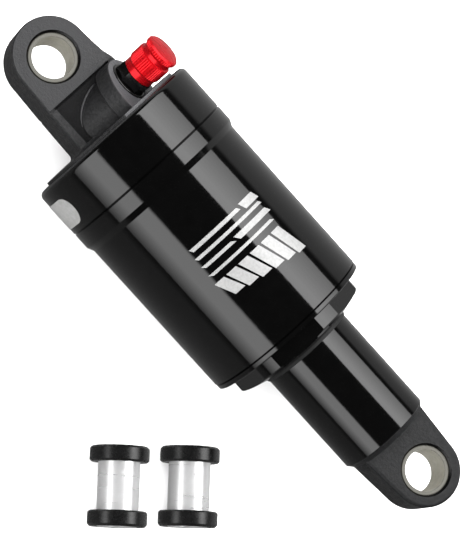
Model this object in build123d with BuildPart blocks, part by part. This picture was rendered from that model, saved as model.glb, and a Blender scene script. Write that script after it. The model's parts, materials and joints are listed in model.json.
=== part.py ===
from build123d import *
from math import asin, cos, degrees, radians, sin
import os

# Air-sprung bicycle rear shock with its two sets of mounting hardware.
# X runs along the shock from the upper eye to the lower eye, Z along the bolt through
# the upper eye, and the origin is the centre of that eye. Millimetres throughout.
# The shock lies on its can with the air valve up on the +Y side, and is fully extended.

# Driving dimensions
eye_to_eye = 165.0
stroke = 35.0
eye_thickness = 14.0
liner_bore = 12.7
liner_wall = 1.19
liner_length = 12.0
can_diameter = 55.2
head_diameter = 57.1
can_bore = 50.0
body_diameter = 29.8
body_bore = 26.0
rod_diameter = 10.0
bolt_diameter = 8.0
hardware_width = 24.0
spacer_diameter = 18.0
slip = 0.05  # radial clearance between pieces that slide or turn on each other
seat = 0.02  # radial clearance between pieces that are pressed or screwed together

liner_radius = liner_bore / 2
liner_outer = liner_radius + liner_wall
can_radius = can_diameter / 2
head_radius = head_diameter / 2
bore_radius = can_bore / 2
body_radius = body_diameter / 2
body_bore_radius = body_bore / 2
rod_radius = rod_diameter / 2
half_plate = eye_thickness / 2

# Stations along the shock's axis
base_start = 26.2  # thin base disc of the upper eyelet
head_start = 27.1  # closed end of the can head
head_wall = 4.0
spigot_end = 37.2  # inner end of the upper eyelet
can_joint = 43.0  # seam between can head and air can
collar_end = 48.3
tube_start = 50.3
can_end = 104.5
nut_start = 106.1
nut_end = 111.2
cone_end = 113.1
lip_end = 114.2
piston_start = 77.0
piston_end = 87.0
body_start = 79.0
body_end = eye_to_eye - 15.9
floating_start = 131.0
floating_end = 136.0
plug_start = 142.5

# Air valve: its axis leaves the shock's axis at valve_x, raised from +Y towards +Z
valve_x = 20.0
valve_tilt = 40.0
boss_face = 14.75  # height of the boss's flat face along the valve axis
valve_direction = Vector(0, cos(radians(valve_tilt)), sin(radians(valve_tilt)))
valve_normal = Vector(0, -sin(radians(valve_tilt)), cos(radians(valve_tilt)))

# Section planes: local x runs along the axis that the outline turns about
shock_axis = Plane.XY
valve_axis = Plane(origin=(valve_x, 0, 0), x_dir=valve_direction, z_dir=valve_normal)
across_valve = Plane(origin=(valve_x, 0, 0), x_dir=(1, 0, 0), z_dir=valve_direction)
upper_bolt_axis = Plane(origin=(0, 0, 0), x_dir=(0, 0, 1), z_dir=(0, -1, 0))
lower_bolt_axis = Plane(origin=(eye_to_eye, 0, 0), x_dir=(0, 0, 1), z_dir=(0, -1, 0))

finished = []


def turn(section_plane, *outline, mode=Mode.ADD):
    """Turns a closed outline of (along, radius) corners about its plane's x axis."""
    with BuildSketch(section_plane) as section:
        with BuildLine():
            Polyline(*outline, close=True)
        make_face()
    axis = Axis(section_plane.origin, section_plane.x_dir)
    revolve(section.sketch, axis=axis, mode=mode)


def turn_ring(section_plane, start, end, inner, outer, mode=Mode.ADD):
    """Turns a plain ring between two stations and two radii."""
    turn(section_plane, (start, inner), (end, inner), (end, outer), (start, outer), mode=mode)


def turn_cord(section_plane, centre, ring_radius, cord_radius):
    """Turns an O-ring of round section."""
    with BuildSketch(section_plane) as section:
        with Locations((centre, ring_radius)):
            Circle(cord_radius)
    revolve(section.sketch, axis=Axis(section_plane.origin, section_plane.x_dir))


def round_edges(builder, group):
    """The circular edges of the builder's part in one group by radius, 0 the smallest."""
    return builder.edges().filter_by(GeomType.CIRCLE).group_by(SortBy.RADIUS)[group]


def finish(builder, name):
    """Labels a finished sub-part and keeps it for the export."""
    builder.part.label = name
    finished.append(builder.part)


# ---------------------------------------------------------------- upper eyelet
eye_radius = 11.9
eye_overhang = 0.75  # the eye's outer arc is centred this far outside the bolt axis
step_x = 11.2  # the eye's raised pads end here
relief_depth = 0.8
groove_depth = 1.2
relief_edge = -10.2  # the reliefs reach this far towards -Y
lean_half_width = 12.4  # half-width of the plate on its -Y side
rib_width = 1.7
neck_half_width = 13.85
boss_centre = 3.6  # the boss stands this far beyond the valve axis, towards the can
boss_radius = 11.8
boss_neck_radius = 10.0
boss_shoulder = 9.4
base_radius = 24.5
spigot_radius = 21.0
lock_thread_radius = 18.0
port_height = 9.0

with BuildPart() as valve_boss:
    with BuildSketch(across_valve.offset(-4.5)):
        with Locations((boss_centre, 0)):
            Circle(boss_neck_radius)
    extrude(amount=boss_shoulder + 4.5)
    with BuildSketch(across_valve.offset(boss_shoulder)):
        with Locations((boss_centre, 0)):
            Circle(boss_radius)
    extrude(amount=boss_face - boss_shoulder)
    fillet(round_edges(valve_boss, -1), radius=0.4)
    split(bisect_by=Plane.YZ.offset(base_start + 0.4), keep=Keep.BOTTOM)
    split(bisect_by=Plane.XY.offset(-3.0), keep=Keep.TOP)

with BuildPart() as upper_eyelet:
    with BuildSketch():
        with Locations((-eye_overhang, 0)):
            Circle(eye_radius)
        with BuildLine():
            Polyline(
                (-0.8, eye_radius - 0.03),
                (5.0, eye_radius + 0.4),
                (8.5, eye_radius + 0.85),
                (11.5, neck_half_width - 0.1),
                (base_start, neck_half_width + 0.1),
                (base_start, -lean_half_width - 0.4),
                (11.5, -lean_half_width),
                (-0.8, -eye_radius + 0.03),
                close=True,
            )
        make_face()
    extrude(amount=half_plate, both=True)
    upright = upper_eyelet.edges().filter_by(Axis.Z)
    fillet(upright.filter_by_position(Axis.X, 8.0, 12.0), radius=3.0)
    turn_ring(shock_axis, base_start, head_start, 0, base_radius)
    corner = upper_eyelet.edges().filter_by_position(Axis.X, base_start - 0.01, base_start + 0.01)
    fillet(corner.filter_by(GeomType.CIRCLE, reverse=True), radius=1.5)
    rim = upper_eyelet.faces().filter_by(Axis.Z).edges()
    chamfer(rim.filter_by_position(Axis.X, -20, step_x - 1.5), length=0.35)
    # Shallow reliefs beyond the eye's pads, with a rib left along each edge and a cutter
    # groove right across where they start
    relief_width = neck_half_width - rib_width - 0.45 - relief_edge
    relief_middle = relief_edge + relief_width / 2
    for side in (1, -1):
        for depth, end, width in (
            (relief_depth, base_start - 1.0, relief_width),
            (relief_depth + groove_depth, step_x + 0.8, relief_width),
            (relief_depth, step_x + 0.8, 4 * neck_half_width),
        ):
            relief_length = end - step_x
            with BuildSketch(Plane.XY.offset(side * (half_plate - depth))):
                with Locations((step_x + relief_length / 2, relief_middle)):
                    Rectangle(relief_length, width)
            extrude(amount=side * 5, mode=Mode.SUBTRACT)
    add(valve_boss.part)
    turn_ring(shock_axis, head_start, head_start + head_wall, 0, spigot_radius)
    turn_ring(shock_axis, head_start + head_wall, spigot_end, 0, lock_thread_radius)
    groove = head_start + head_wall / 2
    turn_ring(shock_axis, groove - 0.9, groove + 0.9, spigot_radius - 1.45, 30, mode=Mode.SUBTRACT)
    # Eye bore with chamfered mouths
    eye_bore = liner_outer + seat
    mouth = half_plate - 0.55
    turn(
        upper_bolt_axis,
        (-half_plate - 1, 0),
        (-half_plate - 1, eye_bore + 0.55),
        (-half_plate, eye_bore + 0.55),
        (-mouth, eye_bore),
        (mouth, eye_bore),
        (half_plate, eye_bore + 0.55),
        (half_plate + 1, eye_bore + 0.55),
        (half_plate + 1, 0),
        mode=Mode.SUBTRACT,
    )
    # Blind bore that the damper rod screws into
    turn_ring(shock_axis, 24.5, spigot_end + 1, 0, rod_radius + seat, mode=Mode.SUBTRACT)
    # Valve seat, valve thread and the drilled port to the air chamber
    turn_ring(valve_axis, 7.5, boss_face + 1, 0, 4.2, mode=Mode.SUBTRACT)
    turn_ring(valve_axis, boss_face - 0.5, boss_face + 4, 0, 6.35, mode=Mode.SUBTRACT)
    port = valve_direction * port_height
    with BuildSketch(Plane.YZ.offset(valve_x)):
        with Locations((port.Y, port.Z)):
            Circle(1.2)
    extrude(amount=spigot_end + 1 - valve_x, mode=Mode.SUBTRACT)
finish(upper_eyelet, "upper_eyelet")

for name, bolt_axis in (("upper_eye_liner", upper_bolt_axis), ("lower_eye_liner", lower_bolt_axis)):
    with BuildPart() as eye_liner:
        turn_ring(bolt_axis, -liner_length / 2, liner_length / 2, liner_radius, liner_outer)
        chamfer(round_edges(eye_liner, -1), length=0.2)
    finish(eye_liner, name)

# ---------------------------------------------------------------- can head and air can
skirt_radius = 26.8  # bore of the head's skirt, over the can's spigot
head_hole = spigot_radius + seat

with BuildPart() as can_head:
    turn(
        shock_axis,
        (head_start, head_hole),
        (head_start + head_wall, head_hole),
        (head_start + head_wall, skirt_radius),
        (can_joint, skirt_radius),
        (can_joint, head_radius - 0.35),
        (can_joint - 0.35, head_radius),
        (head_start, head_radius),
    )
    closed_end = can_head.edges().filter_by(GeomType.CIRCLE).group_by(Axis.X)[0]
    fillet(closed_end.sort_by(SortBy.RADIUS)[-1], radius=1.9)
finish(can_head, "can_head")

with BuildPart() as lock_ring:
    lock_start = head_start + head_wall + seat
    lock_end = lock_start + 3.8
    turn_ring(shock_axis, lock_start, lock_end, lock_thread_radius + seat, 24.0)
    with BuildSketch(Plane.YZ.offset(lock_end - 2.0)):
        with PolarLocations(24.0, 4):
            Rectangle(4.0, 5.0)
    extrude(amount=3.0, mode=Mode.SUBTRACT)
finish(lock_ring, "lock_ring")

with BuildPart() as head_o_ring:
    turn_cord(shock_axis, groove, spigot_radius - 0.7, 0.68)
finish(head_o_ring, "head_o_ring")

can_spigot = 37.6  # the can's threaded spigot starts here, inside the head
can_groove = 40.0
with BuildPart() as air_can:
    turn(
        shock_axis,
        (can_spigot, bore_radius),
        (can_end - 9.0, bore_radius),
        (can_end - 9.0, bore_radius + 0.6),
        (can_end, bore_radius + 0.6),
        (can_end, can_radius - 0.5),
        (can_end - 0.4, can_radius),
        (tube_start, can_radius),
        (collar_end, head_radius),
        (can_joint + 0.35, head_radius),
        (can_joint, head_radius - 0.35),
        (can_joint, skirt_radius - seat),
        (can_groove + 0.8, skirt_radius - seat),
        (can_groove + 0.8, skirt_radius - 1.05),
        (can_groove - 0.8, skirt_radius - 1.05),
        (can_groove - 0.8, skirt_radius - seat),
        (can_spigot, skirt_radius - seat),
    )
finish(air_can, "air_can")

with BuildPart() as can_o_ring:
    turn_cord(shock_axis, can_groove, skirt_radius - 0.53, 0.5)
finish(can_o_ring, "can_o_ring")

# ---------------------------------------------------------------- seal head at the can's mouth
head_spigot = bore_radius + 0.6 - seat
nut_radius = 23.0
across_flats = 42.8
flat_turn = 20.0  # the first flat faces this far from +Z, towards -Y
head_groove = 98.7
bush_radius = 16.5
quad_radius = 18.0
wiper_radius = 15.9
throat = body_radius + 0.2
shoulder_radius = 22.6  # the cone behind the wrench flats starts here

with BuildPart() as seal_head:
    turn(
        shock_axis,
        (can_end - 8.5, bush_radius),
        (can_end - 0.5, bush_radius),
        (can_end - 0.5, throat),
        (nut_start + 0.5, throat),
        (nut_start + 0.5, quad_radius),
        (nut_end - 0.8, quad_radius),
        (nut_end - 0.8, throat),
        (nut_end, throat),
        (nut_end, wiper_radius),
        (cone_end - 0.3, wiper_radius),
        (cone_end, wiper_radius + 0.3),
        (nut_end, shoulder_radius),
        (nut_end - 0.4, nut_radius),
        (nut_start, nut_radius),
        (nut_start, can_radius - 0.45),
        (nut_start - 0.1, can_radius - 0.25),
        (nut_start - 0.3, can_radius - 0.15),
        (can_end + 0.15, can_radius - 0.15),
        (can_end + 0.02, can_radius - 0.45),
        (can_end + 0.02, head_spigot),
        (head_groove + 0.8, head_spigot),
        (head_groove + 0.8, head_spigot - 1.1),
        (head_groove - 0.8, head_spigot - 1.1),
        (head_groove - 0.8, head_spigot),
        (can_end - 8.5, head_spigot),
    )
    with BuildSketch(Plane.YZ.offset(nut_start)) as wrench_flats:
        Circle(nut_radius + 2)
        RegularPolygon(
            across_flats / 2, 6, major_radius=False, rotation=flat_turn, mode=Mode.SUBTRACT
        )
    extrude(amount=lip_end - nut_start, mode=Mode.SUBTRACT)
finish(seal_head, "seal_head")

with BuildPart() as seal_head_o_ring:
    turn_cord(shock_axis, head_groove, head_spigot - 0.56, 0.53)
finish(seal_head_o_ring, "seal_head_o_ring")

with BuildPart() as guide_bushing:
    turn_ring(
        shock_axis, can_end - 8.0, can_end - 0.6, body_radius + slip, bush_radius - seat
    )
finish(guide_bushing, "guide_bushing")

with BuildPart() as body_seal:
    middle = (nut_start + nut_end - 0.3) / 2
    half_seal = 1.4
    turn(
        shock_axis,
        (middle - half_seal, body_radius + slip),
        (middle - 0.6, body_radius + slip),
        (middle, body_radius + 0.5),
        (middle + 0.6, body_radius + slip),
        (middle + half_seal, body_radius + slip),
        (middle + half_seal, quad_radius - seat),
        (middle + 0.6, quad_radius - seat),
        (middle, quad_radius - 0.5),
        (middle - 0.6, quad_radius - seat),
        (middle - half_seal, quad_radius - seat),
    )
finish(body_seal, "body_seal")

with BuildPart() as wiper_seal:
    turn(
        shock_axis,
        (nut_end + 0.05, body_radius + 0.1),
        (cone_end - 0.4, body_radius + 0.1),
        (lip_end - 0.4, body_radius + slip),
        (lip_end, body_radius + slip),
        (lip_end, body_radius + 0.35),
        (cone_end + 0.1, wiper_radius - 0.3),
        (cone_end - 0.3, wiper_radius - seat),
        (nut_end + 0.05, wiper_radius - seat),
    )
finish(wiper_seal, "wiper_seal")

# ---------------------------------------------------------------- damper rod and piston
stud_radius = 3.0
rod_shoulder = 88.2
shim_thickness = 0.25
piston_face = rod_shoulder + 3 * shim_thickness + 0.1
piston_height = 6.0
damping_radius = body_bore_radius - 0.15

with BuildPart() as damper_rod:
    turn(
        shock_axis,
        (24.7, 0),
        (24.7, rod_radius),
        (rod_shoulder, rod_radius),
        (rod_shoulder, stud_radius),
        (100.6, stud_radius),
        (101.0, stud_radius - 0.4),
        (101.0, 0),
    )
finish(damper_rod, "damper_rod")

with BuildPart() as damping_piston:
    band_start = piston_face + 1.8
    turn(
        shock_axis,
        (piston_face, stud_radius + seat),
        (piston_face + piston_height, stud_radius + seat),
        (piston_face + piston_height, damping_radius - 0.4),
        (piston_face + piston_height - 0.4, damping_radius),
        (band_start + 2.4, damping_radius),
        (band_start + 2.4, damping_radius - 0.7),
        (band_start, damping_radius - 0.7),
        (band_start, damping_radius),
        (piston_face + 0.4, damping_radius),
        (piston_face, damping_radius - 0.4),
    )
    with BuildSketch(Plane.YZ.offset(piston_face - 1)):
        with PolarLocations(7.5, 6):
            Circle(1.4)
    extrude(amount=piston_height + 2, mode=Mode.SUBTRACT)
finish(damping_piston, "damping_piston")

with BuildPart() as piston_band:
    turn_ring(
        shock_axis,
        band_start + 0.05,
        band_start + 2.35,
        damping_radius - 0.68,
        body_bore_radius - slip,
    )
finish(piston_band, "piston_band")

compression_stack = piston_face + piston_height + 0.05
shim_stacks = (
    ("rebound_shims", rod_shoulder + 0.03, (8.2, 9.4, 10.6)),
    ("compression_shims", compression_stack, (11.0, 10.0, 9.0, 8.0)),
)
for name, start, radii in shim_stacks:
    with BuildPart() as shims:
        for number, radius in enumerate(radii):
            shim_start = start + number * (shim_thickness + seat)
            shim_end = shim_start + shim_thickness
            turn_ring(shock_axis, shim_start, shim_end, stud_radius + seat, radius)
    finish(shims, name)

with BuildPart() as piston_nut:
    with BuildSketch(Plane.YZ.offset(compression_stack + 1.2)):
        RegularPolygon(5.0, 6, major_radius=False)
        Circle(stud_radius + seat, mode=Mode.SUBTRACT)
    extrude(amount=3.6)
    chamfer(piston_nut.edges().filter_by(Axis.X), length=0.3)
finish(piston_nut, "piston_nut")

with BuildPart() as bottom_out_bumper:
    turn_ring(shock_axis, spigot_end + 0.05, spigot_end + 3.4, rod_radius + 0.1, 10.5)
    fillet(round_edges(bottom_out_bumper, -1).sort_by(Axis.X)[-1], radius=1.2)
finish(bottom_out_bumper, "bottom_out_bumper")

# ---------------------------------------------------------------- air valve
collar_foot = boss_face - 0.45
hexagon_foot = 15.3
hexagon_radius = 5.44
hexagon_turn = 11.7
collar_top = 18.6
stem_top = 27.3
valve_thread_radius = 4.18
stem_radius = 3.85
core_radius = 2.25

with BuildPart() as valve_body:
    turn(
        valve_axis,
        (10.4, 1.2),
        (12.0, 1.2),
        (12.0, 1.9),
        (16.0, 1.9),
        (16.0, core_radius + seat),
        (stem_top, core_radius + seat),
        (stem_top, stem_radius - 0.5),
        (stem_top - 0.5, stem_radius),
        (hexagon_foot, stem_radius),
        (hexagon_foot, 5.3),
        (collar_foot, 5.3),
        (collar_foot, valve_thread_radius),
        (10.4, valve_thread_radius),
    )
    with BuildSketch(across_valve.offset(hexagon_foot)):
        RegularPolygon(hexagon_radius, 6, rotation=hexagon_turn)
        Circle(stem_radius - 0.2, mode=Mode.SUBTRACT)
    extrude(amount=collar_top - hexagon_foot)
finish(valve_body, "valve_body")

with BuildPart() as valve_o_ring:
    turn_cord(valve_axis, boss_face - 0.02, 5.79, 0.46)
finish(valve_o_ring, "valve_o_ring")

with BuildPart() as valve_core:
    turn(
        valve_axis,
        (16.1, 0.85),
        (26.6, 0.85),
        (26.6, 1.5),
        (25.2, 1.5),
        (25.2, core_radius),
        (16.9, core_radius),
        (16.1, core_radius - 0.5),
    )
finish(valve_core, "valve_core")

with BuildPart() as valve_core_pin:
    turn(
        valve_axis,
        (14.8, 0),
        (27.1, 0),
        (27.1, 0.5),
        (26.9, 0.75),
        (16.0, 0.75),
        (15.7, 1.5),
        (14.8, 1.5),
    )
finish(valve_core_pin, "valve_core_pin")

# Screw cap: smooth neck, knurled barrel, groove and knurled mushroom head
cap_foot = collar_top + 0.1
cap_top = 29.7
cap_crown = 0.45
knurl_count = 48
knurl_depth = 0.26
barrel_radius = 5.62
neck_radius = 5.22
groove_radius = 5.05
cap_bore = stem_radius + 0.1
crown_rim = barrel_radius - 0.6
crown_top = cap_top + cap_crown
crown_sphere = (crown_rim**2 + cap_crown**2) / (2 * cap_crown)
crown_angle = degrees(asin(crown_rim / crown_sphere))

with BuildPart() as valve_cap:
    with BuildSketch(valve_axis) as cap_section:
        with BuildLine():
            Polyline(
                (cap_top - 1.7, 0),
                (cap_top - 1.7, cap_bore),
                (cap_foot, cap_bore),
                (cap_foot, neck_radius - 0.15),
                (cap_foot + 0.15, neck_radius),
                (20.9, neck_radius),
                (21.5, barrel_radius),
                (25.9, barrel_radius),
                (26.2, groove_radius),
                (27.4, groove_radius),
                (28.2, barrel_radius),
                (cap_top - 0.5, barrel_radius),
                (cap_top, crown_rim),
            )
            CenterArc((crown_top - crown_sphere, 0), crown_sphere, 0, crown_angle)
            Line((crown_top, 0), (cap_top - 1.7, 0))
        make_face()
    revolve(axis=Axis(valve_axis.origin, valve_axis.x_dir))
    with BuildSketch(across_valve.offset(20.0)):
        with PolarLocations(barrel_radius + 0.02, knurl_count, start_angle=1.7):
            Rectangle(2 * knurl_depth / 1.414, 2 * knurl_depth / 1.414, rotation=45)
    extrude(amount=11.0, mode=Mode.SUBTRACT)
finish(valve_cap, "valve_cap")

with BuildPart() as valve_cap_seal:
    turn_ring(valve_axis, cap_top - 2.2, cap_top - 1.75, 0, cap_bore - seat)
finish(valve_cap_seal, "valve_cap_seal")

# ---------------------------------------------------------------- damper body and lower eyelet
with BuildPart() as damper_body:
    turn(
        shock_axis,
        (body_start, body_bore_radius),
        (body_end, body_bore_radius),
        (body_end, body_radius - 0.15),
        (body_end - 0.15, body_radius),
        (body_start, body_radius),
    )
finish(damper_body, "damper_body")

with BuildPart() as air_piston:
    piston_radius = bore_radius - 0.08
    turn(
        shock_axis,
        (piston_start, body_bore_radius),
        (body_start - seat, body_bore_radius),
        (body_start - seat, body_radius + seat),
        (piston_end, body_radius + seat),
        (piston_end, piston_radius),
        (86.2, piston_radius),
        (86.2, piston_radius - 1.3),
        (83.4, piston_radius - 1.3),
        (83.4, piston_radius),
        (82.2, piston_radius),
        (82.2, piston_radius - 2.5),
        (79.2, piston_radius - 2.5),
        (79.2, piston_radius),
        (piston_start + 0.6, piston_radius),
        (piston_start, piston_radius - 0.6),
    )
finish(air_piston, "air_piston")

with BuildPart() as air_piston_seal:
    outer = bore_radius - slip
    inner = piston_radius - 2.5 + seat
    turn(
        shock_axis,
        (79.25, inner),
        (80.3, inner),
        (80.7, inner + 0.5),
        (81.1, inner),
        (82.15, inner),
        (82.15, outer),
        (81.1, outer),
        (80.7, outer - 0.5),
        (80.3, outer),
        (79.25, outer),
    )
finish(air_piston_seal, "air_piston_seal")

with BuildPart() as air_piston_band:
    turn_ring(shock_axis, 83.45, 86.15, piston_radius - 1.3 + seat, bore_radius - slip)
finish(air_piston_band, "air_piston_band")

with BuildPart() as top_out_bumper:
    turn_ring(shock_axis, piston_end + 0.05, can_end - 8.8, body_radius + seat, 18.6)
    fillet(round_edges(top_out_bumper, -1), radius=1.2)
finish(top_out_bumper, "top_out_bumper")

with BuildPart() as rod_guide:
    turn(
        shock_axis,
        (piston_start, 8.0),
        (78.4, 8.0),
        (78.4, rod_radius + 0.2),
        (81.0, rod_radius + 0.2),
        (81.0, 6.2),
        (85.0, 6.2),
        (85.0, rod_radius + 0.2),
        (86.0, rod_radius + 0.2),
        (86.0, body_bore_radius - seat),
        (piston_start, body_bore_radius - seat),
    )
finish(rod_guide, "rod_guide")

with BuildPart() as rod_seal:
    turn(
        shock_axis,
        (piston_start + 0.1, rod_radius + slip),
        (78.3, rod_radius + slip),
        (78.3, 7.95),
        (piston_start + 0.1, 7.95),
        (piston_start + 0.5, 7.0),
        (piston_start + 0.1, 6.0),
    )
finish(rod_seal, "rod_seal")

with BuildPart() as rod_bushing:
    turn_ring(shock_axis, 81.1, 84.9, rod_radius + slip, 6.2 - seat)
finish(rod_bushing, "rod_bushing")

with BuildPart() as damper_top_out_ring:
    turn_ring(shock_axis, 86.05, 87.9, rod_radius + 0.3, 9.0)
finish(damper_top_out_ring, "damper_top_out_ring")

with BuildPart() as floating_piston:
    floating_radius = body_bore_radius - 0.08
    floating_groove = (floating_start + floating_end) / 2
    turn(
        shock_axis,
        (floating_start + 1.5, 0),
        (floating_start + 1.5, 9.0),
        (floating_start, 9.5),
        (floating_start, floating_radius - 0.4),
        (floating_start + 0.4, floating_radius),
        (floating_groove - 0.9, floating_radius),
        (floating_groove - 0.9, floating_radius - 1.5),
        (floating_groove + 0.9, floating_radius - 1.5),
        (floating_groove + 0.9, floating_radius),
        (floating_end - 0.4, floating_radius),
        (floating_end, floating_radius - 0.4),
        (floating_end, 0),
    )
finish(floating_piston, "floating_piston")

with BuildPart() as floating_o_ring:
    turn_cord(shock_axis, floating_groove, body_bore_radius - slip - 0.74, 0.74)
finish(floating_o_ring, "floating_o_ring")

lower_eye_radius = 11.2
lower_half_width = 12.35
collar_radius = 13.5
collar_face = body_end + 1.6  # the tapered collar that closes the damper body ends here
foot_end = body_end + 6.0
charge_x = body_end + 4.9
with BuildPart() as lower_eyelet:
    with BuildSketch():
        with Locations((eye_to_eye, 0)):
            Circle(lower_eye_radius)
        with BuildLine():
            Polyline(
                (body_end + 0.5, lower_half_width),
                (eye_to_eye + 1.1, lower_eye_radius - 0.07),
                (eye_to_eye + 1.1, -lower_eye_radius + 0.07),
                (body_end + 0.5, -lower_half_width),
                close=True,
            )
        make_face()
    extrude(amount=half_plate, both=True)
    rim = lower_eyelet.faces().filter_by(Axis.Z).edges()
    fillet(rim.filter_by_position(Axis.X, collar_face - 0.5, eye_to_eye + 20), radius=1.0)
    turn(
        shock_axis,
        (plug_start + 2.0, 0),
        (foot_end, 0),
        (foot_end, lower_half_width - 0.4),
        (collar_face + 1.8, collar_radius - 0.3),
        (collar_face, collar_radius),
        (body_end + 0.02, body_radius - 0.2),
        (body_end + 0.02, body_bore_radius - seat),
        (plug_start + 2.0, body_bore_radius - seat),
    )
    turn(
        shock_axis,
        (plug_start, 9.0),
        (plug_start + 2.0, 9.0),
        (plug_start + 2.0, body_bore_radius - seat),
        (plug_start + 0.5, body_bore_radius - seat),
        (plug_start, body_bore_radius - 0.6),
    )
    # The foot behind the collar is cut flush with the plate's two faces
    for side in (1, -1):
        with BuildSketch(Plane.XY.offset(side * half_plate)):
            with Locations((collar_face + 0.1 + 4, 0)):
                Rectangle(8, 40)
        extrude(amount=side * 12, mode=Mode.SUBTRACT)
    turn_ring(shock_axis, plug_start + 1.0, body_end - 2.5, 0, 9.0, mode=Mode.SUBTRACT)
    lower_bore = liner_outer + seat
    lower_mouth = half_plate - 0.5
    turn(
        lower_bolt_axis,
        (-half_plate - 1, 0),
        (-half_plate - 1, lower_bore + 0.5),
        (-half_plate, lower_bore + 0.5),
        (-lower_mouth, lower_bore),
        (lower_mouth, lower_bore),
        (half_plate, lower_bore + 0.5),
        (half_plate + 1, lower_bore + 0.5),
        (half_plate + 1, 0),
        mode=Mode.SUBTRACT,
    )
    # Gas charging port: a tapped hole in the back face and a drilling to the gas chamber
    with BuildSketch(Plane.XY.offset(-half_plate)):
        with Locations((charge_x, 0)):
            Circle(2.0)
    extrude(amount=4.0, mode=Mode.SUBTRACT)
    with BuildSketch(Plane.XY.offset(-half_plate + 3.5)):
        with Locations((charge_x, 0)):
            Circle(0.8)
    extrude(amount=3.0, mode=Mode.SUBTRACT)
    turn_ring(shock_axis, body_end - 3.0, charge_x, 0, 0.8, mode=Mode.SUBTRACT)
finish(lower_eyelet, "lower_eyelet")

with BuildPart() as charge_screw:
    with BuildSketch(Plane.XY.offset(-half_plate + 0.3)):
        with Locations((charge_x, 0)):
            Circle(2.0 - seat)
    extrude(amount=3.4)
    with BuildSketch(Plane.XY.offset(-half_plate + 0.3)):
        with Locations((charge_x, 0)):
            RegularPolygon(0.95, 6)
    extrude(amount=1.6, mode=Mode.SUBTRACT)
finish(charge_screw, "charge_screw")

# ---------------------------------------------------------------- mounting hardware
# Each set is one sleeve with a spacer on each end, and lies on the surface beside the shock.
sleeve_radius = liner_radius - slip
bolt_bore = bolt_diameter / 2 + 0.05
spacer_radius = spacer_diameter / 2
spacer_width = (hardware_width - eye_thickness - 0.6) / 2
surface_z = -head_radius
hardware_turn = -46.0  # the sleeves' direction, from +X
hardware_places = (("a", 107.4, -66.7), ("b", 122.4, -50.9))

for letter, set_x, set_y in hardware_places:
    direction = Vector(1, 0, 0).rotate(Axis.Z, hardware_turn)
    sleeve_axis = Plane(
        origin=(set_x, set_y, surface_z + spacer_radius), x_dir=direction, z_dir=(0, 0, 1)
    )
    half = hardware_width / 2
    with BuildPart() as sleeve:
        turn_ring(sleeve_axis, -half, half, bolt_bore, sleeve_radius)
        for group in (0, -1):
            chamfer(round_edges(sleeve, group), length=0.3)
    finish(sleeve, f"sleeve_{letter}")
    with BuildPart() as spacers:
        for side in (1, -1):
            turn(
                sleeve_axis,
                (side * half, sleeve_radius + seat),
                (side * half, spacer_radius - 0.7),
                (side * (half - 0.7), spacer_radius),
                (side * (half - spacer_width + 0.5), spacer_radius),
                (side * (half - spacer_width), spacer_radius - 0.5),
                (side * (half - spacer_width), sleeve_radius + seat),
            )
    finish(spacers, f"spacers_{letter}")

os.makedirs("parts", exist_ok=True)
for part in finished:
    export_step(part, f"parts/{part.label}.step")
    print(f"{part.label}: {part.volume:.1f} mm3")
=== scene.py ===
import json
import math

import bmesh
import bpy
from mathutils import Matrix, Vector


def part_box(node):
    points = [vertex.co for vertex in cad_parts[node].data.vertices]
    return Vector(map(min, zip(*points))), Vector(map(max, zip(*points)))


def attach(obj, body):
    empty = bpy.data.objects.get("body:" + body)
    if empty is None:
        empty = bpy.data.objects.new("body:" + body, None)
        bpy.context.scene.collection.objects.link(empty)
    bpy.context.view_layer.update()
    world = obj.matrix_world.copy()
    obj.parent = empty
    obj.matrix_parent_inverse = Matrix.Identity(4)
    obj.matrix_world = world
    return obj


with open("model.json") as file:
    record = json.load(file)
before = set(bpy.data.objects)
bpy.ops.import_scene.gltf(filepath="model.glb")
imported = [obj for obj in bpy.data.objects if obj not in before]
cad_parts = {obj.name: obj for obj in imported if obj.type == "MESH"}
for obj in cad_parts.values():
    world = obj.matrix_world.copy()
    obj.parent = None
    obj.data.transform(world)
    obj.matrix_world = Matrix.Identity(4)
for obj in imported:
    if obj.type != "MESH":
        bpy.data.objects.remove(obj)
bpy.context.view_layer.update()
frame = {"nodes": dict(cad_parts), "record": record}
nodes = frame["nodes"]
mounts = {mount["name"]: mount for mount in frame["record"]["mounts"]}
MM = 0.001

# ------------------------------------------------------------------ sizes, from the frame
head_low, head_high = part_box("can_head")
head_radius = (head_high.z - head_low.z) / 2
floor_height = head_low.z
lower_eye_x = mounts["lower_eye"]["pos_m"][0]
liner_end = mounts["upper_eye"]["dims"]["length_mm"] / 2 * MM

# ------------------------------------------------------------------ sizes, set here
tube_radius = 27.6 * MM
half_plate = 7.0 * MM  # half the thickness of both eyelets' plates
mouth_radius = 8.15 * MM  # outer radius of the eye bores' chamfered mouths
mouth_depth = 2.0 * MM
pad_end = 11.15 * MM  # the upper eye's machined pads end here
pocket_low, pocket_high = -10.25 * MM, 11.8 * MM  # the relieved pocket's reach across
pocket_end = 26.1 * MM
pocket_floor = 6.2 * MM
valve_tilt = math.radians(40.0)  # the air valve leans this far up from +Y
boss_face = 14.75 * MM  # along the valve's axis
boss_centre_x = 23.6 * MM
boss_neck_radius = 10.0 * MM
hardware_turn = -46.0  # degrees about Z
shock_middle = 82.0 * MM


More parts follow.
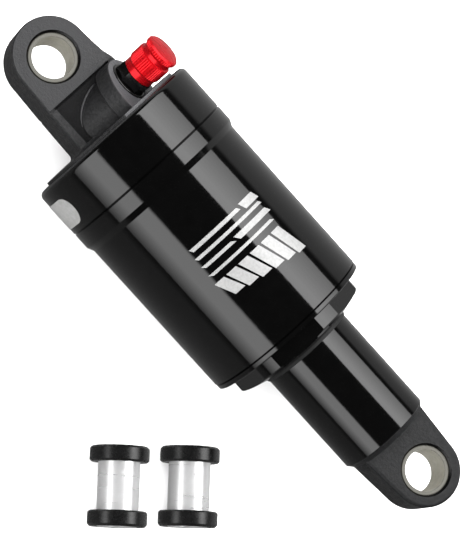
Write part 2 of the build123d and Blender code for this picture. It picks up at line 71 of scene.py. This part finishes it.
# ------------------------------------------------------------------ shader helpers
class Shader:
    """One node material, with short calls for the nodes that the finishes share."""

    def __init__(self, name, **surface):
        self.material = bpy.data.materials.new(name)
        self.material.use_nodes = True
        self.tree = self.material.node_tree
        self.principled = self.tree.nodes["Principled BSDF"]
        for socket, value in surface.items():
            self.principled.inputs[socket.replace("_", " ")].default_value = value
        self.coordinates = self.node("ShaderNodeTexCoord").outputs["Object"]

    def node(self, kind, **settings):
        made = self.tree.nodes.new(kind)
        for name, value in settings.items():
            setattr(made, name, value)
        return made

    def link(self, source, target):
        self.tree.links.new(source, target)

    def stretched(self, scale, turn=(0, 0, 0)):
        """Object coordinates along axes turned by degrees, then scaled per axis."""
        mapping = self.node("ShaderNodeMapping", vector_type="TEXTURE")
        mapping.inputs["Rotation"].default_value = [math.radians(a) for a in turn]
        mapping.inputs["Scale"].default_value = [1 / s for s in scale]
        self.link(self.coordinates, mapping.inputs["Vector"])
        return mapping.outputs["Vector"]

    def noise(self, scale, detail=3.0, roughness=0.55, vector=None):
        made = self.node("ShaderNodeTexNoise")
        made.inputs["Scale"].default_value = scale
        made.inputs["Detail"].default_value = detail
        made.inputs["Roughness"].default_value = roughness
        self.link(vector or self.coordinates, made.inputs["Vector"])
        return made.outputs["Fac"]

    def remap(self, value, low, high, start=0.3, end=0.7):
        made = self.node("ShaderNodeMapRange")
        made.inputs["From Min"].default_value = start
        made.inputs["From Max"].default_value = end
        made.inputs["To Min"].default_value = low
        made.inputs["To Max"].default_value = high
        self.link(value, made.inputs["Value"])
        return made.outputs["Result"]

    def blend_colours(self, value, dark, light, start=0.3, end=0.7):
        made = self.node("ShaderNodeValToRGB")
        made.color_ramp.elements[0].position = start
        made.color_ramp.elements[0].color = (*dark, 1)
        made.color_ramp.elements[1].position = end
        made.color_ramp.elements[1].color = (*light, 1)
        self.link(value, made.inputs["Fac"])
        self.link(made.outputs["Color"], self.principled.inputs["Base Color"])

    def vary_roughness(self, value, low, high, start=0.3, end=0.7):
        self.link(self.remap(value, low, high, start, end), self.principled.inputs["Roughness"])

    def calculate(self, operation, first, second=0.0):
        """One Math node. Each operand is a socket or a number."""
        made = self.node("ShaderNodeMath", operation=operation)
        for socket, value in zip(made.inputs, (first, second)):
            if isinstance(value, (int, float)):
                socket.default_value = value
            else:
                self.link(value, socket)
        return made.outputs["Value"]

    def above(self, value, limit):
        return self.calculate("GREATER_THAN", value, limit)

    def below(self, value, limit):
        return self.calculate("LESS_THAN", value, limit)

    def all_of(self, first, *others):
        """1 where every mask is 1."""
        for mask in others:
            first = self.calculate("MULTIPLY", first, mask)
        return first

    def axes(self):
        """The object coordinates' x, y and z, in metres."""
        split = self.node("ShaderNodeSeparateXYZ")
        self.link(self.coordinates, split.inputs["Vector"])
        return [split.outputs[axis] for axis in "XYZ"]

    def override(self, socket_name, mask, value):
        """Mixes a fixed value over whatever already drives a socket, where the mask is 1."""
        socket = self.principled.inputs[socket_name]
        source = socket.links[0].from_socket
        is_colour = not isinstance(value, (int, float))
        made = self.node("ShaderNodeMix", data_type="RGBA" if is_colour else "FLOAT")
        kind = "Color" if is_colour else "Float"
        ports = {s.identifier: s for s in made.inputs}
        self.link(mask, ports["Factor_Float"])
        self.link(source, ports["A_" + kind])
        ports["B_" + kind].default_value = (*value, 1) if is_colour else value
        result = [s for s in made.outputs if s.identifier == "Result_" + kind][0]
        self.link(result, socket)

    def bump(self, value, height):
        """Bumps of a height in metres."""
        made = self.node("ShaderNodeBump")
        made.inputs["Strength"].default_value = 1.0
        made.inputs["Distance"].default_value = height
        self.link(value, made.inputs["Height"])
        self.link(made.outputs["Normal"], self.principled.inputs["Normal"])


def finish_gloss_black(name, roughness, matte_before=None):
    """Gloss black coat with a trace of orange peel, and matte up to x = matte_before."""
    tone = 0.0006
    shader = Shader(name, IOR=1.5)
    cloud = shader.noise(260.0, 4.0)
    shader.blend_colours(cloud, (tone * 0.8,) * 3, (tone * 1.25,) * 3)
    shader.vary_roughness(shader.noise(900.0, 2.0), roughness * 0.85, roughness * 1.2)
    if matte_before is not None:
        in_front = shader.below(shader.axes()[0], matte_before)
        shader.override("Base Color", in_front, (0.012, 0.012, 0.0125))
        shader.override("Roughness", in_front, 0.5)
    shader.bump(shader.noise(420.0, 2.0), 0.000006)
    return shader.material


def finish_eyelet(name, eye_x, cast, cast_roughness, pad=None):
    """Dark blasted aluminium; in the eye's mouth glossy and near black, a painted shade of the
    recess.

    With a pad colour, it is also machined on the eye's pads and on the valve boss's face, where a
    painted highlight makes it four times lighter, and matte on the pocket's floor, where a painted
    shade darkens it.
    """
    # How far each mask reaches below the face that it picks
    pad_reach, boss_reach = 0.05 * MM, 0.03 * MM
    groove_reach, rim_reach = 2.5 * MM, 0.5 * MM  # the pocket's floor lies between these
    shader = Shader(name, IOR=1.36)
    grain = shader.noise(1500.0, 3.0, 0.65)
    shader.blend_colours(grain, [c * 0.6 for c in cast], [c * 1.5 for c in cast], 0.35, 0.65)
    shader.vary_roughness(
        shader.noise(700.0, 3.0), cast_roughness * 0.85, cast_roughness * 1.15
    )
    x, y, z = shader.axes()
    height = shader.calculate("ABSOLUTE", z)
    if pad:
        along_valve = shader.calculate(
            "ADD",
            shader.calculate("MULTIPLY", y, math.cos(valve_tilt)),
            shader.calculate("MULTIPLY", z, math.sin(valve_tilt)),
        )
        on_eye_pad = shader.all_of(
            shader.above(height, half_plate - pad_reach), shader.below(x, pad_end)
        )
        boss_face_highlight_mask = shader.above(along_valve, boss_face - boss_reach)
        shader.override("Base Color", on_eye_pad, pad)
        shader.override("Roughness", on_eye_pad, 0.4)
        # Painted highlight: the machined boss face gets four times the pad colour.
        shader.override("Base Color", boss_face_highlight_mask, [c * 4 for c in pad])
        shader.override("Roughness", boss_face_highlight_mask, 0.35)
        pocket_shade_mask = shader.all_of(
            shader.above(x, pad_end),
            shader.below(x, pocket_end),
            shader.above(y, pocket_low),
            shader.below(y, pocket_high),
            shader.above(height, half_plate - groove_reach),
            shader.below(height, half_plate - rim_reach),
        )
        # Painted shade: the pocket's floor is darkened to a third of the cast tone; its matte
        # roughness is its own.
        shader.override("Base Color", pocket_shade_mask, [c * 0.35 for c in cast])
        shader.override("Roughness", pocket_shade_mask, 0.85)
    from_eye = shader.calculate("SUBTRACT", x, eye_x)
    reach = shader.calculate(
        "ADD", shader.calculate("MULTIPLY", from_eye, from_eye), shader.calculate("MULTIPLY", y, y)
    )
    # Painted shade: the recessed mouth is near black, and glossy.
    mouth_shade_mask = shader.all_of(
        shader.below(reach, mouth_radius**2), shader.above(height, half_plate - mouth_depth)
    )
    shader.override("Base Color", mouth_shade_mask, (0.001, 0.001, 0.001))
    shader.override("Roughness", mouth_shade_mask, 0.2)
    shader.bump(grain, 0.00014)
    return shader.material


def finish_liner(name, dark, light, end_shade_tone, roughness):
    """Bearing polymer, with the liners' end faces darker: a painted shade that tones down the
    light they catch.
    """
    shader = Shader(name, IOR=1.45)
    shader.blend_colours(shader.noise(500.0, 4.0), dark, light)
    shader.vary_roughness(shader.noise(900.0), roughness * 0.9, roughness * 1.15)
    height = shader.calculate("ABSOLUTE", shader.axes()[2])
    # Painted shade: the liners' end faces get a darker tone.
    end_shade_mask = shader.above(height, liner_end - 0.25 * MM)
    shader.override("Base Color", end_shade_mask, end_shade_tone)
    shader.bump(shader.noise(2600.0, 2.0), 0.00001)
    return shader.material


def finish_polymer(name, dark, light, roughness):
    shader = Shader(name, IOR=1.5)
    shader.blend_colours(shader.noise(500.0, 4.0), dark, light)
    shader.vary_roughness(shader.noise(900.0), roughness * 0.9, roughness * 1.15)
    shader.bump(shader.noise(2600.0, 2.0), 0.00001)
    return shader.material


def finish_metal(
    name, dark, light, roughness, line_scale, turn=(0, 0, 0), line_depth=0.000008, **surface
):
    """Bare or dyed metal with fine turning or grinding lines."""
    shader = Shader(name, **{"Metallic": 1.0, **surface})
    lines = shader.noise(1.0, 2.0, 0.5, shader.stretched(line_scale, turn))
    shader.blend_colours(shader.noise(300.0, 3.0), dark, light)
    shader.vary_roughness(lines, roughness * 0.8, roughness * 1.25)
    shader.bump(lines, line_depth)
    return shader.material


turned_lines = (4200, 300, 300)  # noise scale along each axis, for parts turned about X


def finish_rubber(name, tone, roughness):
    shader = Shader(name, IOR=1.5)
    grain = shader.noise(2200.0, 4.0)
    shader.blend_colours(grain, (tone * 0.8,) * 3, (tone * 1.3,) * 3)
    shader.vary_roughness(shader.noise(800.0), roughness * 0.9, roughness * 1.15)
    shader.bump(grain, 0.00001)
    return shader.material


# ------------------------------------------------------------------ the CAD nodes' finishes
materials = {
    "eyelet_metal": finish_eyelet(
        "eyelet_metal", 0.0, (0.008, 0.008, 0.0084), 0.5, pad=(0.014, 0.014, 0.0148)
    ),
    "eyelet_cast_metal": finish_eyelet(
        "eyelet_cast_metal", lower_eye_x, (0.0045, 0.0046, 0.0049), 0.52
    ),
    "liner_polymer": finish_liner(
        "liner_polymer", (0.2, 0.193, 0.16), (0.24, 0.23, 0.192), (0.055, 0.053, 0.045), 0.55
    ),
    "can_black": finish_gloss_black("can_black", 0.07, matte_before=head_low.x + 0.4 * MM),
    "body_black": finish_gloss_black("body_black", 0.08),
    "inner_aluminium": finish_metal(
        "inner_aluminium", (0.6, 0.6, 0.61), (0.75, 0.75, 0.76), 0.25, turned_lines
    ),
    "black_rubber": finish_rubber("black_rubber", 0.014, 0.42),
    "bearing_polymer": finish_polymer(
        "bearing_polymer", (0.26, 0.2, 0.13), (0.33, 0.27, 0.18), 0.5
    ),
    "chromed_steel": finish_metal(
        "chromed_steel", (0.7, 0.71, 0.73), (0.8, 0.81, 0.83), 0.08, turned_lines
    ),
    "bright_steel": finish_metal(
        "bright_steel", (0.5, 0.5, 0.5), (0.62, 0.62, 0.62), 0.25, turned_lines
    ),
    "valve_black": finish_gloss_black("valve_black", 0.12),
    "valve_brass": finish_metal(
        "valve_brass", (0.62, 0.45, 0.16), (0.72, 0.55, 0.24), 0.25, (300, 3000, 3000)
    ),
    "red_anodised": finish_metal(
        "red_anodised", (0.42, 0.003, 0.007), (0.52, 0.004, 0.009), 0.27, (200, 2500, 2500),
        Metallic=0.7, Coat_Weight=0.08, Coat_Roughness=0.12, Specular_IOR_Level=0.3,
    ),
    "polished_aluminium": finish_metal(
        "polished_aluminium", (0.74, 0.74, 0.742), (0.8, 0.8, 0.802), 0.32, (1400, 60, 60),
        turn=(0, 0, hardware_turn), line_depth=0.000003, Metallic=0.85,
    ),
    "spacer_black": finish_rubber("spacer_black", 0.002, 0.26),
}

materials_by_node = {
    "valve_o_ring": finish_rubber("glossy_rubber", 0.004, 0.17),
    "wiper_seal": finish_rubber("dusty_rubber", 0.004, 0.6),
}
for part in frame["record"]["subparts"]:
    node = nodes[part["node"]]
    node.data.materials.clear()
    node.data.materials.append(
        materials_by_node.get(part["node"]) or materials[part["material_slot"]]
    )

# The loose hardware isn't mirrored in the shock's gloss
for name in ("sleeve_a", "sleeve_b", "spacers_a", "spacers_b"):
    nodes[name].visible_glossy = False

# ------------------------------------------------------------------ small pieces on the can
patch_sink = 0.05 * MM  # a patch's underside is this far inside the can
print_lift = 0.03 * MM
sticker_lift = 0.12 * MM


def wrap(x, turn, radius):
    """A point on the can: turn in degrees from straight up towards -Y."""
    angle = math.radians(turn)
    return Vector((x, -radius * math.sin(angle), radius * math.cos(angle)))


def wrapped_patch(mesh, outline, radius, lift, rows, columns):
    """Adds a thin closed patch to a bmesh. outline(u, v) gives x and the turn about the can."""
    layers = []
    for height in (-patch_sink, lift):
        grid = [
            [
                mesh.verts.new(wrap(*outline(column / columns, row / rows), radius + height))
                for column in range(columns + 1)
            ]
            for row in range(rows + 1)
        ]
        layers.append(grid)
    low, high = layers
    for row in range(rows):
        for column in range(columns):
            corners = ((row, column), (row, column + 1), (row + 1, column + 1), (row + 1, column))
            mesh.faces.new([high[r][c] for r, c in corners])
            mesh.faces.new([low[r][c] for r, c in reversed(corners)])
    rim = [(0, c) for c in range(columns)] + [(r, columns) for r in range(rows)]
    rim += [(rows, c) for c in range(columns, 0, -1)] + [(r, 0) for r in range(rows, 0, -1)]
    for here, there in zip(rim, rim[1:] + rim[:1]):
        mesh.faces.new(
            (
                low[here[0]][here[1]],
                low[there[0]][there[1]],
                high[there[0]][there[1]],
                high[here[0]][here[1]],
            )
        )


def add_piece(name, build, material):
    """Makes an object from a bmesh builder and lets it ride on the can."""
    mesh = bmesh.new()
    build(mesh)
    bmesh.ops.recalc_face_normals(mesh, faces=mesh.faces)
    data = bpy.data.meshes.new(name)
    mesh.to_mesh(data)
    mesh.free()
    piece = bpy.data.objects.new(name, data)
    bpy.context.scene.collection.objects.link(piece)
    for face in data.polygons:
        face.use_smooth = True
    data.set_sharp_from_angle(angle=math.radians(40))
    data.materials.append(material)
    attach(piece, "can")


def build_bead(mesh):
    """A half-sunk bead where the valve boss's neck meets the floor of the eyelet's pocket.

    It stands in for the real part's rounded corner, which the CAD leaves sharp.
    """
    bead_radius = 0.34 * MM
    first_offset, last_offset = 2.0, 9.6  # mm from the valve's axis, seen along X
    steps, sides = 36, 10
    path = []
    for step in range(steps + 1):
        offset = (first_offset + (last_offset - first_offset) * step / steps) * MM
        x = boss_centre_x - math.sqrt(boss_neck_radius**2 - offset**2)
        y = (pocket_floor * math.cos(valve_tilt) - offset) / math.sin(valve_tilt)
        path.append(Vector((x, y, pocket_floor)))
    rings = []
    for number, point in enumerate(path):
        ahead = path[min(number + 1, steps)] - path[max(number - 1, 0)]
        across = ahead.normalized().cross(Vector((0, 0, 1)))
        # The bead tapers to a fifth at each end, faster at the start
        travelled = number / steps
        radius = bead_radius * min(1.0, 0.2 + 6 * travelled, 0.2 + 3 * (1 - travelled))
        rings.append(
            [
                mesh.verts.new(
                    point
                    + across * radius * math.cos(math.tau * side / sides)
                    + Vector((0, 0, radius * math.sin(math.tau * side / sides)))
                )
                for side in range(sides)
            ]
        )
    for near, far in zip(rings, rings[1:]):
        for side in range(sides):
            after = (side + 1) % sides
            mesh.faces.new((near[side], near[after], far[after], far[side]))
    mesh.faces.new(rings[0])
    mesh.faces.new(rings[-1])


def build_print(mesh):
    """Slanted bars in three rows. A bar is (start x, end x, from turn, to turn, slant in mm)."""
    bars = [
        (67.0, 69.6, -25.0, -12.0, 1.2),
        (67.4, 68.6, -9.0, 30.0, 0.9),
        (70.4, 71.4, -24.0, 31.0, 0.9),
        (73.0, 74.8, -25.0, 4.0, 1.4),
        (73.4, 74.4, 7.0, 31.0, 1.4),
        (76.6, 77.5, -22.0, 31.0, 1.4),
    ]
    block_start, block_turn, block_gap, block_count = -25.0, 7.6, 1.9, 6
    for number in range(block_count):
        turn = block_start + number * (block_turn + block_gap)
        bars.append((79.6, 89.6 - 0.8 * number, turn, turn + block_turn, 3.0))
    for start, end, from_turn, to_turn, slant in bars:

        def outline(u, v):
            lean = slant * (1 - 2 * v)
            return (start + (end - start) * v) * MM, from_turn + (to_turn - from_turn) * u + lean

        columns = max(2, int(abs(to_turn - from_turn)))
        wrapped_patch(mesh, outline, tube_radius, print_lift, 4, columns)


def build_sticker(mesh):
    """Plain label with rounded ends, stuck round the head's -Y side."""
    middle, half_width = 36.3, 4.5
    first_turn, last_turn = 70.0, 130.0
    end_turn = math.degrees(half_width * MM / head_radius) * 0.8

    def outline(u, v):
        across = 2 * v - 1
        inset = end_turn * (1 - math.sqrt(max(0.0, 1 - across * across)))
        start, end = first_turn + inset, last_turn - inset
        return (middle + half_width * across * 0.999) * MM, start + (end - start) * u

    wrapped_patch(mesh, outline, head_radius, sticker_lift, 24, 60)


silver_print = Shader("silver_print", Metallic=0.35, IOR=1.5)
silver_print.blend_colours(silver_print.noise(1500.0, 3.0), (0.2, 0.2, 0.2), (0.26, 0.26, 0.257))
silver_print.vary_roughness(silver_print.noise(600.0), 0.38, 0.5)
add_piece("can_print", build_print, silver_print.material)

# Painted highlight: the bead is lighter than the eyelet metal it belongs to, so it shows as a
# bright line.
bead_highlight_metal = Shader("bead_highlight_metal", IOR=1.5)
bead_highlight_metal.blend_colours(bead_highlight_metal.noise(1500.0), (0.02, 0.02, 0.021), (0.03, 0.03, 0.031))
bead_highlight_metal.vary_roughness(bead_highlight_metal.noise(700.0), 0.38, 0.5)
bead_highlight_metal.bump(bead_highlight_metal.noise(2200.0), 0.00002)
add_piece("boss_bead", build_bead, bead_highlight_metal.material)

label_paper = Shader("label_paper", IOR=1.45)
label_paper.blend_colours(
    label_paper.noise(900.0, 3.0), (0.155, 0.155, 0.152), (0.21, 0.21, 0.206)
)
label_paper.vary_roughness(label_paper.noise(500.0), 0.35, 0.45)
add_piece("blank_label", build_sticker, label_paper.material)

# ------------------------------------------------------------------ floor, lights and camera
floor_data = bpy.data.meshes.new("floor")
floor_reach = 3.0
floor_corners = ((-1, -1), (1, -1), (1, 1), (-1, 1))
floor_data.from_pydata(
    [(x * floor_reach, y * floor_reach, floor_height) for x, y in floor_corners],
    [],
    [(0, 1, 2, 3)],
)
floor = bpy.data.objects.new("floor", floor_data)
bpy.context.scene.collection.objects.link(floor)
floor_shader = Shader("floor_paper", Base_Color=(0.9, 0.9, 0.9, 1), Roughness=0.9)
floor_data.materials.append(floor_shader.material)
floor.visible_glossy = False


def softbox(name, turn_from, turn_to, start_x, end_x, distance, radiance):
    """A rectangular area light that spans two turns about the shock's axis, from +Z towards +Y."""
    half = math.radians(turn_to - turn_from) / 2
    middle = math.radians(turn_from + turn_to) / 2
    width, length = 2 * distance * math.tan(half), end_x - start_x
    light = bpy.data.lights.new(name, "AREA")
    light.shape = "RECTANGLE"
    light.size, light.size_y = length, width
    light.energy = radiance * math.pi * length * width
    lamp = bpy.data.objects.new(name, light)
    bpy.context.scene.collection.objects.link(lamp)
    lamp.location = (
        (start_x + end_x) / 2,
        distance * math.sin(middle),
        distance * math.cos(middle),
    )
    lamp.rotation_euler = (-middle, 0, 0)


def tapered_softbox(name, turns, taper_turns, start_x, end_x, distance, radiance, steps=7):
    """Nested softboxes that brighten inwards.

    The widest spans turns and has radiance[0]. The narrowest has its ends moved inwards by
    taper_turns, and there the softboxes add up to radiance[1].
    """
    for step in range(steps):
        inward = step / (steps - 1)
        softbox(
            f"{name}_{step}",
            turns[0] + taper_turns[0] * inward,
            turns[1] - taper_turns[1] * inward,
            start_x,
            end_x,
            distance + step * MM,
            radiance[0] if step == 0 else (radiance[1] - radiance[0]) / (steps - 1),
        )


softbox_distance = 0.55
tapered_softbox(
    "key_softbox", (20.5, 63.0), (0.0, 30.0), -0.35, 0.55, softbox_distance, (3.0, 5.4)
)
tapered_softbox(
    "low_softbox", (-84.0, -44.5), (18.0, 2.5), -0.38, 0.34, softbox_distance, (0.9, 3.6)
)

fill_light = bpy.data.lights.new("overhead_fill", "AREA")
fill_light.size = 2.4
fill_light.energy = 110.0
fill = bpy.data.objects.new("overhead_fill", fill_light)
bpy.context.scene.collection.objects.link(fill)
fill.location = (shock_middle, 0, 1.5)
fill.visible_glossy = False

world = bpy.data.worlds.new("studio")
bpy.context.scene.world = world
world.use_nodes = True
world_tree = world.node_tree
direction = world_tree.nodes.new("ShaderNodeTexCoord")
split = world_tree.nodes.new("ShaderNodeSeparateXYZ")
turn = world_tree.nodes.new("ShaderNodeMath")
turn.operation = "ARCTAN2"
whole_turn = world_tree.nodes.new("ShaderNodeMapRange")
whole_turn.inputs["From Min"].default_value = -math.pi
whole_turn.inputs["From Max"].default_value = math.pi
ramp = world_tree.nodes.new("ShaderNodeValToRGB")
# Brightness by turn about the shock's axis, in degrees from +Z towards +Y
world_steps = (
    (-180, 0.22),
    (-96, 0.22),
    (-86, 0.04),
    (72, 0.04),
    (78, 0.5),
    (145, 0.5),
    (170, 0.22),
)
for number, (step_turn, brightness) in enumerate(world_steps):
    position = (step_turn + 180) / 360
    if number < 2:
        step = ramp.color_ramp.elements[number]
        step.position = position
    else:
        step = ramp.color_ramp.elements.new(position)
    step.color = (brightness, brightness, brightness, 1)
world_tree.links.new(direction.outputs["Generated"], split.inputs["Vector"])
world_tree.links.new(split.outputs["Y"], turn.inputs[0])
world_tree.links.new(split.outputs["Z"], turn.inputs[1])
world_tree.links.new(turn.outputs["Value"], whole_turn.inputs["Value"])
world_tree.links.new(whole_turn.outputs["Result"], ramp.inputs["Fac"])
background = world_tree.nodes["Background"]
world_tree.links.new(ramp.outputs["Color"], background.inputs["Color"])
background.inputs["Strength"].default_value = 1.0

camera_data = bpy.data.cameras.new("camera")
camera_data.lens = 164.9
camera_data.sensor_width = 36.0
camera_data.clip_end = 10.0
camera = bpy.data.objects.new("camera", camera_data)
bpy.context.scene.collection.objects.link(camera)
aim = Vector((81.76, 0.16, -0.06)) * MM
camera_distance = 727.8 * MM
camera.rotation_euler = [math.radians(a) for a in (8.168, -15.988, 46.032)]
camera.location = aim + camera.rotation_euler.to_matrix() @ Vector((0, 0, camera_distance))
bpy.context.scene.camera = camera

bpy.context.scene.view_settings.view_transform = "Standard"
